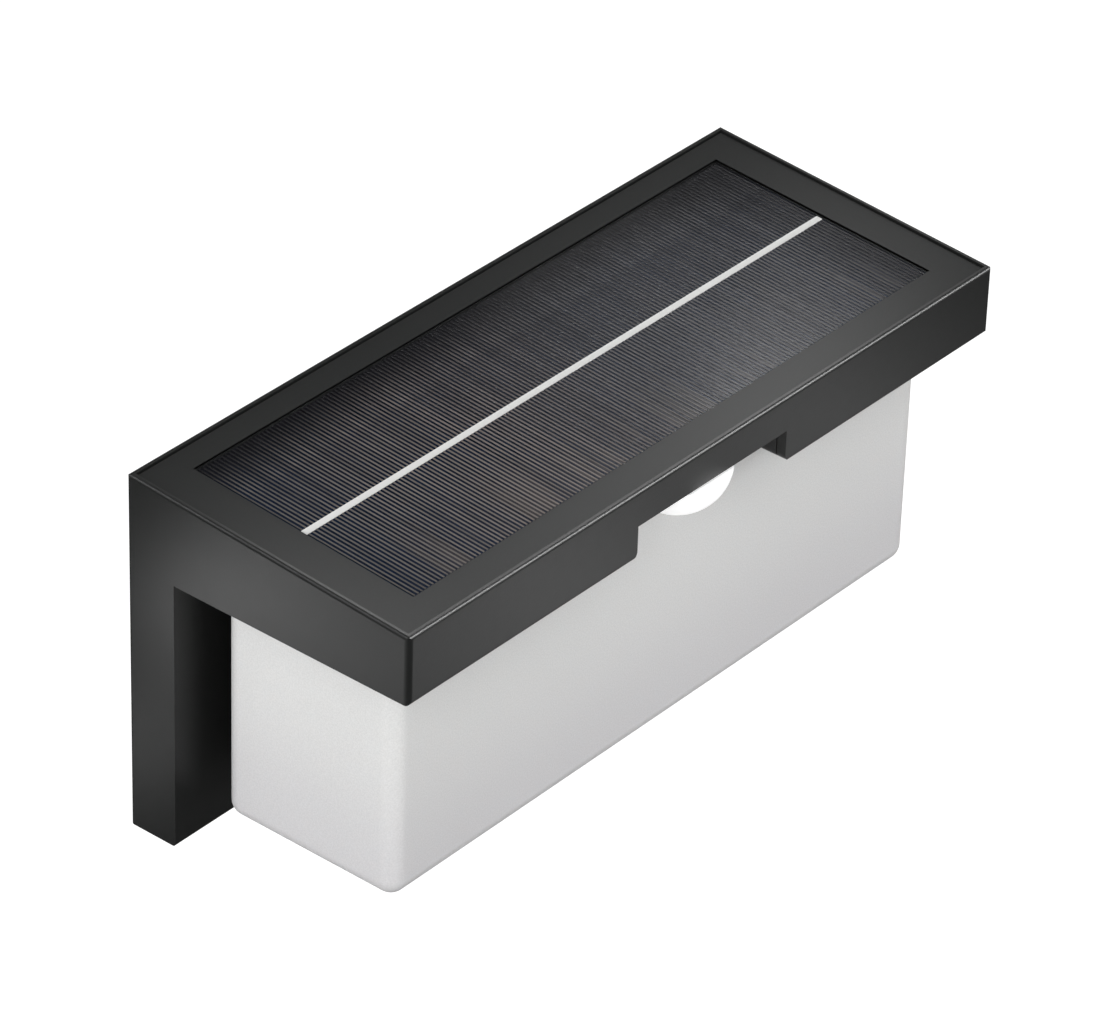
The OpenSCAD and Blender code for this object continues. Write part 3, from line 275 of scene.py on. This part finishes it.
def makeLensPlastic():
    look = lensLook
    material, tree, shader = startMaterial("lensPlastic")
    where = objectPlace(tree)
    cells = addNode(tree, "ShaderNodeTexVoronoi")
    feed(tree, cells.inputs["Vector"], where)
    cells.inputs["Scale"].default_value = look["facets"]
    tone = scaleColour(tree, look["tone"], vary(tree, noise(tree, where, look["cloud"]), look["tones"]))
    feed(tree, shader.inputs["Base Color"], tone)
    facets = bumpFrom(tree, cells.outputs["Distance"], look["depth"], look["bump"])
    feed(tree, shader.inputs["Normal"], facets)
    feed(tree, shader.inputs["Roughness"], vary(tree, noise(tree, where, look["haze"]), look["sheens"]))
    # painted glow: the lens shines by its own emission to stay white, though it is no lamp
    shader.inputs["Emission Color"].default_value = (1, 1, 1, 1)
    shader.inputs["Emission Strength"].default_value = look["glow"]
    shader.inputs["Subsurface Weight"].default_value = look["spreadWeight"]
    shader.inputs["Subsurface Radius"].default_value = look["spreadReach"]
    shader.inputs["Subsurface Scale"].default_value = look["spreadRadius"]
    return material


# solar panel: everything on it is placed in the roof's own frame, from the middle of the cell

panelPlace = {"fall": 0.005, "depth": 0.0715, "top": 0.045, "cellBack": 0.0006, "cellRight": 0.0003,
              "cellHalfL": 0.0795, "cellHalfW": 0.028}


def roofPlace(tree):
    # where a point lies, how far right of the cell's centre, and how far behind it, in metres
    place = panelPlace
    tilt = math.atan(place["fall"] / place["depth"])
    where = objectPlace(tree)
    along = alongAxis(tree, where, (0, math.cos(tilt), math.sin(tilt)))
    middle = place["cellBack"] - place["depth"] / math.cos(tilt) / 2
    right = mathNode(tree, "SUBTRACT", alongAxis(tree, where, (1, 0, 0)), place["cellRight"])
    back = mathNode(tree, "SUBTRACT", along, middle + place["top"] * math.sin(tilt))
    return where, right, back


# the satin haze of the laminated face: most in a patch right of the cell's middle

hazeLook = {"right": 0.03, "back": 0.0052, "reachRight": 0.12, "reachBack": 0.08, "low": 0.2, "high": 2.0,
            "cloud": 90, "sheens": (0.18, 0.22)}


def makePanelHaze():
    look = hazeLook
    tree, _, made = startGroup("panelHaze", [], [("Haze", floatIn), ("Sheen", floatIn)])
    where, right, back = roofPlace(tree)
    offRight = mathNode(tree, "SUBTRACT", right, look["right"])
    offRight = mathNode(tree, "DIVIDE", offRight, look["reachRight"])
    offBack = mathNode(tree, "SUBTRACT", back, look["back"])
    offBack = mathNode(tree, "DIVIDE", offBack, look["reachBack"])
    square = mathNode(tree, "ADD", mathNode(tree, "MULTIPLY", offRight, offRight),
                      mathNode(tree, "MULTIPLY", offBack, offBack))
    away = mathNode(tree, "SQRT", square)
    feed(tree, made["Haze"], spread(tree, away, 0, 1, look["high"], look["low"], True))
    feed(tree, made["Sheen"], vary(tree, noise(tree, where, look["cloud"]), look["sheens"]))
    return tree


skins["haze"] = makePanelHaze()


def coatFace(tree, shader, coat, coatBase, coatSheen):
    # the laminate mirrors as a coat, and what lies under it stays matt
    face = addNode(tree, "ShaderNodeGroup", node_tree=skins["haze"])
    weight = mathNode(tree, "MULTIPLY_ADD", face.outputs["Haze"], coat, coatBase)
    feed(tree, shader.inputs["Coat Weight"], weight)
    shader.inputs["Coat Roughness"].default_value = coatSheen
    shader.inputs["Specular IOR Level"].default_value = 0.0
    return face


# the cell with its printed grid: painted shade makes both fade towards the cell's back edge and right end

cellLook = {"fadeBack": 0.017, "fadeEnd": 0.02, "endLow": 0.25,
            "coat": 0.44, "coatBase": 0.0, "coatSheen": 0.2}


def paintedShadeFade(tree, right, back):
    # 1 in the middle of the cell, lower where the painted shade darkens the back edge and right end
    look = cellLook
    toBack = mathNode(tree, "SUBTRACT", panelPlace["cellHalfW"], back)
    toEnd = mathNode(tree, "SUBTRACT", panelPlace["cellHalfL"], right)
    fromBack = spread(tree, toBack, 0, look["fadeBack"], 0, 1, True)
    fromEnd = spread(tree, toEnd, 0, look["fadeEnd"], look["endLow"], 1, True)
    return mathNode(tree, "MULTIPLY", fromBack, fromEnd)


def finishCell(tree, shader, tone):
    feed(tree, shader.inputs["Base Color"], tone)
    face = coatFace(tree, shader, cellLook["coat"], cellLook["coatBase"], cellLook["coatSheen"])
    tree.links.new(face.outputs["Sheen"], shader.inputs["Roughness"])


# silicon: navy in the middle, with painted shade that darkens it towards the back nearly as dark as the
# border; grey streaks run in from the front edge, and the margin outside the fingers takes a painted sheen,
# lighter towards the front, like the border beside it

siliconLook = {"middle": (0.0045, 0.0088, 0.0185), "deep": (0.005, 0.0052, 0.0065),
               "cloud": 22, "cloudDetail": 4, "cloudTones": (0.75, 1.3),
               "streak": 40, "streakStretch": (14, 1, 1), "streakTones": (0.8, 1.25),
               "grey": (0.032, 0.031, 0.034), "greyScale": 70, "greyDetail": 2,
               "greyStretch": (4, 0.15, 0.15), "greyFrom": 0.57, "greyTo": 0.64,
               "greyReach": 0.022, "greyStrength": 0.85,
               "marginSheenFront": (0.042, 0.0435, 0.043), "marginSheenBack": (0.016, 0.0165, 0.0165),
               "marginW": 0.0006, "marginL": 0.0005, "marginFull": 0.0002,
               "toneFront": -0.5, "toneBack": 0.9}


def makeSilicon():
    look, halfL, halfW = siliconLook, panelPlace["cellHalfL"], panelPlace["cellHalfW"]
    material, tree, shader = startMaterial("silicon")
    where, right, back = roofPlace(tree)
    cloud = vary(tree, noise(tree, where, look["cloud"], look["cloudDetail"]), look["cloudTones"])
    lines = noise(tree, where, look["streak"], stretch=look["streakStretch"])
    streak = vary(tree, lines, look["streakTones"])
    # painted shade: the silicon darkens from navy towards its back edge and right end
    paintedShadeSilicon = mixColours(tree, paintedShadeFade(tree, right, back), look["deep"], look["middle"])
    grey = spread(tree, noise(tree, where, look["greyScale"], look["greyDetail"], look["greyStretch"]),
                  look["greyFrom"], look["greyTo"], 0, 1, True)
    nearFront = spread(tree, back, -halfW, look["greyReach"] - halfW, look["greyStrength"], 0, True)
    streaked = mixColours(tree, mathNode(tree, "MULTIPLY", grey, nearFront), paintedShadeSilicon, look["grey"])
    body = scaleColour(tree, streaked, mathNode(tree, "MULTIPLY", cloud, streak))
    marginW = spread(tree, mathNode(tree, "ABSOLUTE", back),
                     halfW - look["marginW"], halfW - look["marginFull"], 0, 1)
    marginL = spread(tree, mathNode(tree, "ABSOLUTE", right),
                     halfL - look["marginL"], halfL - look["marginFull"], 0, 1)
    # painted sheen: the margin is lighter towards the front, as the lit border beside it looks
    across = spread(tree, back, look["toneFront"] * halfW, look["toneBack"] * halfW, 0, 1, True)
    paintedMarginSheen = mixColours(tree, across, look["marginSheenFront"], look["marginSheenBack"])
    finishCell(tree, shader, mixColours(tree, mathNode(tree, "MAXIMUM", marginW, marginL), body, paintedMarginSheen))
    return material


# silver grid: the busbar is bright, and the fingers are thin enough to look grey; a painted sheen lightens
# the fingers in a band left of the cell's middle

gridLook = {"bus": (0.64, 0.64, 0.63), "busHalf": 0.00078,
            "paintedSheen": (0.185, 0.16, 0.146), "finger": (0.09, 0.087, 0.086), "faint": (0.014, 0.014, 0.0155),
            "paintedSheenAt": -0.038, "paintedSheenReach": 0.058,
            "band": 60, "bandStretch": (9, 0.4, 0.4), "bandHigh": 0.68, "bandTones": (0.6, 1.15),
            "patch": 26, "patchTones": (0.75, 1.15)}


def makeSilverGrid():
    look = gridLook
    material, tree, shader = startMaterial("silverGrid")
    where, right, back = roofPlace(tree)
    isBus = mathNode(tree, "LESS_THAN", mathNode(tree, "ABSOLUTE", back), look["busHalf"])
    band = spread(tree, noise(tree, where, look["band"], stretch=look["bandStretch"]),
                  noiseLow, look["bandHigh"], *look["bandTones"])
    patch = vary(tree, noise(tree, where, look["patch"]), look["patchTones"])
    # painted sheen: the fingers are lighter in a band left of the cell's middle
    fromPaintedSheen = mathNode(tree, "ABSOLUTE", mathNode(tree, "SUBTRACT", right, look["paintedSheenAt"]))
    paintedSheen = spread(tree, fromPaintedSheen, 0, look["paintedSheenReach"], 1, 0, True)
    tone = mixColours(tree, paintedSheen, look["finger"], look["paintedSheen"])
    uneven = mathNode(tree, "MULTIPLY", band, patch)
    # the fingers also fade with the painted shade at the cell's back edge and right end
    strength = mathNode(tree, "MULTIPLY", paintedShadeFade(tree, right, back), uneven, clamp=True)
    finger = mixColours(tree, strength, look["faint"], tone)
    finishCell(tree, shader, mixColours(tree, isBus, finger, look["bus"]))
    return material


# the dark print that frames the cell, on the backing board and on the clear cover's border

borderLook = {"tone": (0.0125, 0.0131, 0.0128), "sheen": 0.4, "drift": 0.05, "grain": 2000.0, "depth": 0.01,
              "coat": 0.136, "coatBase": 0.355}


def dressBorder(tree, shader):
    look = borderLook
    useSkin(tree, shader, "moulded", Tone=look["tone"], Drift=look["drift"], Grain=look["grain"],
            Depth=look["depth"], Sheen=look["sheen"])
    coatFace(tree, shader, look["coat"], look["coatBase"], look["sheen"])


def makePanelBacking():
    material, tree, shader = startMaterial("panelBacking")
    dressBorder(tree, shader)
    return material


def makePanelCover():
    # see-through over the cell only
    material, tree, shader = startMaterial("panelCover")
    dressBorder(tree, shader)
    _, right, back = roofPlace(tree)
    inLength = mathNode(tree, "LESS_THAN", mathNode(tree, "ABSOLUTE", right), panelPlace["cellHalfL"])
    inWidth = mathNode(tree, "LESS_THAN", mathNode(tree, "ABSOLUTE", back), panelPlace["cellHalfW"])
    overCell = mathNode(tree, "MULTIPLY", inLength, inWidth)
    feed(tree, shader.inputs["Alpha"], mathNode(tree, "SUBTRACT", 1.0, overCell))
    return material


# LED packages: yellow phosphor with a fine grain

ledLook = {"grain": 1500, "grainDetail": 2, "deep": (0.85, 0.66, 0.2), "pale": (0.95, 0.83, 0.45),
           "sheens": (0.25, 0.4)}


def makeLedPackage():
    look = ledLook
    material, tree, shader = startMaterial("ledPackage")
    grain = noise(tree, objectPlace(tree), look["grain"], look["grainDetail"])
    feed(tree, shader.inputs["Base Color"], mixColours(tree, grain, look["deep"], look["pale"]))
    feed(tree, shader.inputs["Roughness"], vary(tree, grain, look["sheens"]))
    return material


# the plainer pieces: screws, seals, boards and what else lies under the housing

materials = {
    "housing": makeHousingPlastic(),
    "tray": plastic("trayPlastic", (0.012, 0.0122, 0.0125), 0.48, grain=1600.0, depth=0.3, shine=0.4),
    "opal": makeOpalPlastic(),
    "lens": makeLensPlastic(),
    "rubber": plastic("sealRubber", (0.012, 0.012, 0.012), 0.7, grain=1200.0, depth=0.3, shine=0.3),
    "screw": metal("zincPlate", (0.56, 0.56, 0.54), 0.32),
    "panel_backing": makePanelBacking(),
    "cell": makeSilicon(),
    "grid": makeSilverGrid(),
    "panel_cover": makePanelCover(),
    "white_plastic": plastic("whitePlastic", (0.8, 0.8, 0.79), 0.45, drift=0.02),
    "white_board": board("whiteBoard", (0.8, 0.8, 0.79), (0.86, 0.86, 0.85)),
    "led": makeLedPackage(),
    "battery": plastic("batteryWrap", (0.03, 0.11, 0.3), 0.25, depth=0.03, coat=0.4),
    "black_plastic": plastic("blackPlastic", (0.02, 0.02, 0.02), 0.5),
    "contact": metal("nickelStrip", (0.66, 0.62, 0.55), 0.28),
    "board": board("greenBoard", (0.012, 0.09, 0.035), (0.03, 0.2, 0.08)),
    "can": metal("nickelCan", (0.62, 0.61, 0.58), 0.22),
    "filter": plastic("filterWindow", (0.02, 0.02, 0.024), 0.15, depth=0.02),
    "button": plastic("buttonRubber", (0.015, 0.015, 0.0155), 0.55, grain=1500.0, depth=0.25, shine=0.35),
    "lead": plastic("leadSleeve", (0.16, 0.01, 0.01), 0.4, depth=0.05),
}
for part in frame["record"]["subparts"]:
    node = frame["nodes"][part["node"]]
    for slot in node.material_slots:
        slot.material = materials[part["material_slot"]]
print("materials set:", len(materials))


# studio: pale floor with a low curved wall, soft lights, camera at the photograph's angle

studioLook = {"floorZ": -0.30, "floorRadius": 3.0, "bendRadius": 0.8, "bendSteps": 8, "wallTop": 1.0,
              "sides": 64, "floorTone": 0.4, "shadowTone": 0.3, "glow": 0.86, "mirrored": 0.10,
              "ceiling": 0.10, "ambient": 0.85, "horizonFrom": 0.22, "horizonTo": 0.42}


def mixShaders(tree, factor, first, second):
    node = addNode(tree, "ShaderNodeMixShader")
    feed(tree, node.inputs[0], factor)
    tree.links.new(first, node.inputs[1])
    tree.links.new(second, node.inputs[2])
    return node.outputs[0]


def diffuseShader(tree, grey):
    node = addNode(tree, "ShaderNodeBsdfDiffuse")
    node.inputs["Color"].default_value = (grey, grey, grey, 1)
    return node.outputs[0]


def glowShader(tree, strength):
    node = addNode(tree, "ShaderNodeEmission")
    node.inputs["Strength"].default_value = strength
    return node.outputs[0]


def isReflected(tree, rays):
    return mathNode(tree, "MAXIMUM", rays.outputs["Is Glossy Ray"], rays.outputs["Is Transmission Ray"])


def makeFloorMaterial():
    look = studioLook
    material, tree, shader = startMaterial("studioFloor")
    tree.nodes.remove(shader)
    rays = addNode(tree, "ShaderNodeLightPath")
    seen = addNode(tree, "ShaderNodeAddShader")
    tree.links.new(diffuseShader(tree, look["shadowTone"]), seen.inputs[0])
    tree.links.new(glowShader(tree, look["glow"]), seen.inputs[1])
    # in reflections the floor is dim, so that the sheen lights draw the gradients
    unseen = mixShaders(tree, isReflected(tree, rays), diffuseShader(tree, look["floorTone"]),
                        glowShader(tree, look["mirrored"]))
    front = mixShaders(tree, rays.outputs["Is Camera Ray"], unseen, seen.outputs[0])
    # from below the floor is see-through
    clear = addNode(tree, "ShaderNodeBsdfTransparent").outputs[0]
    behind = addNode(tree, "ShaderNodeNewGeometry").outputs["Backfacing"]
    whole = mixShaders(tree, behind, front, clear)
    tree.links.new(whole, tree.nodes["Material Output"].inputs["Surface"])
    return material


def makeFloor():
    look = studioLook
    profile = [(look["floorRadius"], look["floorZ"])]
    for step in range(1, look["bendSteps"] + 1):
        turn = math.radians(step * 90 / look["bendSteps"])
        profile.append((look["floorRadius"] + look["bendRadius"] * math.sin(turn),
                        look["floorZ"] + look["bendRadius"] * (1 - math.cos(turn))))
    profile.append((look["floorRadius"] + look["bendRadius"], look["wallTop"]))
    sides = look["sides"]
    turns = [2 * math.pi * k / sides for k in range(sides)]
    shape = bmesh.new()
    rings = [[shape.verts.new((radius * math.cos(a), radius * math.sin(a), z)) for a in turns]
             for radius, z in profile]
    shape.faces.new(rings[0])
    for low, high in zip(rings, rings[1:]):
        for k in range(sides):
            shape.faces.new((low[k], high[k], high[(k + 1) % sides], low[(k + 1) % sides]))
    mesh = bpy.data.meshes.new("floor")
    shape.to_mesh(mesh)
    shape.free()
    mesh.shade_smooth()
    floor = bpy.data.objects.new("floor", mesh)
    floor.data.materials.append(makeFloorMaterial())
    bpy.context.collection.objects.link(floor)


def mixValues(tree, factor, first, second):
    node = addNode(tree, "ShaderNodeMix", data_type="FLOAT")
    for socket, value in zip((node.inputs[0], *node.inputs[2:4]), (factor, first, second)):
        feed(tree, socket, value)
    return node.outputs[0]


def makeWorld():
    look = studioLook
    world = bpy.data.worlds.new("studio")
    world.use_nodes = True
    tree = world.node_tree
    tree.nodes.clear()
    rays = addNode(tree, "ShaderNodeLightPath")
    up = addNode(tree, "ShaderNodeSeparateXYZ")
    feed(tree, up.inputs[0], addNode(tree, "ShaderNodeTexCoord").outputs["Generated"])
    # in reflections: white near the horizon, where the backdrop is, and a dim ceiling above
    mirrored = spread(tree, up.outputs["Z"], look["horizonFrom"], look["horizonTo"],
                      1.0, look["ceiling"], True)
    unseen = mixValues(tree, isReflected(tree, rays), look["ambient"], mirrored)
    sky = addNode(tree, "ShaderNodeBackground")
    feed(tree, sky.inputs["Strength"], mixValues(tree, rays.outputs["Is Camera Ray"], unseen, 1.0))
    tree.links.new(sky.outputs[0], addNode(tree, "ShaderNodeOutputWorld").inputs["Surface"])
    bpy.context.scene.world = world


# soft lights: where each stands, what it faces, its width and its power
lightLook = {
    "keyLeft": {"at": (-1.45, -0.30, 0.75), "towards": (0, -0.03, 0.0), "size": 1.1, "power": 18},
    "keyFront": {"at": (0.50, -1.50, 0.45), "towards": (0, -0.03, 0.0), "size": 1.2, "power": 9.5},
    "topSoft": {"at": (-0.2, -0.2, 1.6), "towards": (0, -0.03, 0.0), "size": 1.0, "power": 3.6},
}

# lights that show only in reflections and draw the soft sheen of the satin faces: "at" and "towards" are
# where the first one of a row stands and aims, "lastAt" and "lastTowards" where its last one does
sheenLook = {
    "onLip": {
        "at": (-0.0076, -0.1519, -0.0536), "towards": (-0.1000, -0.0715, 0.0330),
        "lastAt": (0.1533, -0.1455, -0.0467), "lastTowards": (0.0500, -0.0715, 0.0330),
        "size": 0.045, "powers": (0.0043, 0.0058, 0.009, 0.0009, 0.0067, 0.0032)},
    "onEnd": {
        "at": (-0.1459, -0.0240, -0.0197), "towards": (-0.0900, -0.0720, 0.0320),
        "lastAt": (-0.1447, 0.0245, -0.0186), "lastTowards": (-0.0900, -0.0260, 0.0320),
        "size": 0.024, "powers": (0.003, 0.0042, 0.0074)},
    "onLeg": {
        "at": (-0.1430, 0.0444, -0.0644), "towards": (-0.0900, -0.0060, -0.0120),
        "size": 0.024, "powers": (0.003,)},
    "onCorner": {
        "at": (-0.1900, -0.0728, -0.0310), "towards": (-0.0900, -0.0715, 0.0350),
        "lastAt": (-0.1810, -0.0380, -0.0310), "lastTowards": (-0.0900, -0.0715, 0.0350),
        "size": 0.05, "powers": (0.005, 0.005)},
    "onLeftBorder": {
        "at": (-0.0331, -0.0020, 0.1392), "towards": (-0.0900, -0.0434, 0.0420),
        "size": 0.05, "powers": (0.058,)},
    "onFrontBorder": {
        "at": (0.0151, -0.0272, 0.1363), "towards": (-0.0450, -0.0658, 0.0399),
        "lastAt": (0.1579, -0.0290, 0.1321), "lastTowards": (0.0900, -0.0658, 0.0399),
        "size": 0.05, "powers": (0.032, 0.026, 0.031, 0.005)},
    "onPanelFront": {
        "at": (0.1011, 0.0086, 0.1630), "towards": (-0.0300, -0.0778, 0.0391),
        "lastAt": (0.2101, 0.0038, 0.1562), "lastTowards": (0.0700, -0.0778, 0.0391),
        "size": 0.055, "powers": (0.0033, 0.0165, 0.0045)},
    "onPanelBack": {
        "at": (0.1527, 0.0715, 0.1615), "towards": (0.0200, -0.0199, 0.0431),
        "lastAt": (0.2611, 0.0667, 0.1553), "lastTowards": (0.1200, -0.0199, 0.0431),
        "size": 0.055, "powers": (0.0031, 0.0022, 0.009)},
    "onFrontEdge": {
        "at": (0.84, -0.80, 0.72), "towards": (0, -0.0715, 0.04),
        "size": 0.4, "powers": (18,)},
    "onLeftEdge": {
        "at": (-0.64, 0.49, 0.69), "towards": (-0.09, -0.036, 0.04),
        "size": 0.3, "powers": (2.0,)},
}


def placeLight(name, at, towards, size, power, sheenOnly):
    lamp = bpy.data.lights.new(name, "AREA")
    lamp.shape = "ELLIPSE"
    lamp.size = lamp.size_y = size
    lamp.energy = power
    holder = bpy.data.objects.new(name, lamp)
    backwards = (at - towards).normalized()
    along = Vector((1, 0, 0)) - backwards.x * backwards
    along.normalize()
    holder.location = at
    holder.rotation_mode = "QUATERNION"
    turn = Matrix((along, backwards.cross(along), backwards)).transposed()
    holder.rotation_quaternion = turn.to_quaternion()
    holder.visible_camera = False
    holder.visible_diffuse = not sheenOnly
    bpy.context.collection.objects.link(holder)


def makeLights():
    for name, look in lightLook.items():
        placeLight(name, Vector(look["at"]), Vector(look["towards"]), look["size"], look["power"], False)
    for name, row in sheenLook.items():
        lastAt, lastTowards = row.get("lastAt", row["at"]), row.get("lastTowards", row["towards"])
        for number, power in enumerate(row["powers"]):
            share = number / max(len(row["powers"]) - 1, 1)
            at = Vector(row["at"]).lerp(Vector(lastAt), share)
            towards = Vector(row["towards"]).lerp(Vector(lastTowards), share)
            placeLight(name + str(number), at, towards, row["size"], power, True)


cameraLook = {"place": (-0.79870, -0.68000, 0.68790), "lens": 198.98, "sensor": 36, "clip": (0.05, 20),
              "right": (0.643636, -0.764823, 0.027913), "up": (0.407369, 0.373241, 0.833512),
              "back": (-0.647907, -0.525107, 0.551796)}


def makeCamera():
    look = cameraLook
    data = bpy.data.cameras.new("photoCamera")
    data.sensor_width = look["sensor"]
    data.lens = look["lens"]
    data.clip_start, data.clip_end = look["clip"]
    camera = bpy.data.objects.new("photoCamera", data)
    turn = Matrix((look["right"], look["up"], look["back"])).transposed()
    camera.rotation_mode = "QUATERNION"
    camera.rotation_quaternion = turn.to_quaternion()
    camera.location = look["place"]
    bpy.context.collection.objects.link(camera)
    bpy.context.scene.camera = camera


makeFloor()
makeWorld()
makeLights()
makeCamera()
bpy.context.scene.view_settings.view_transform = "Standard"
print("studio made")
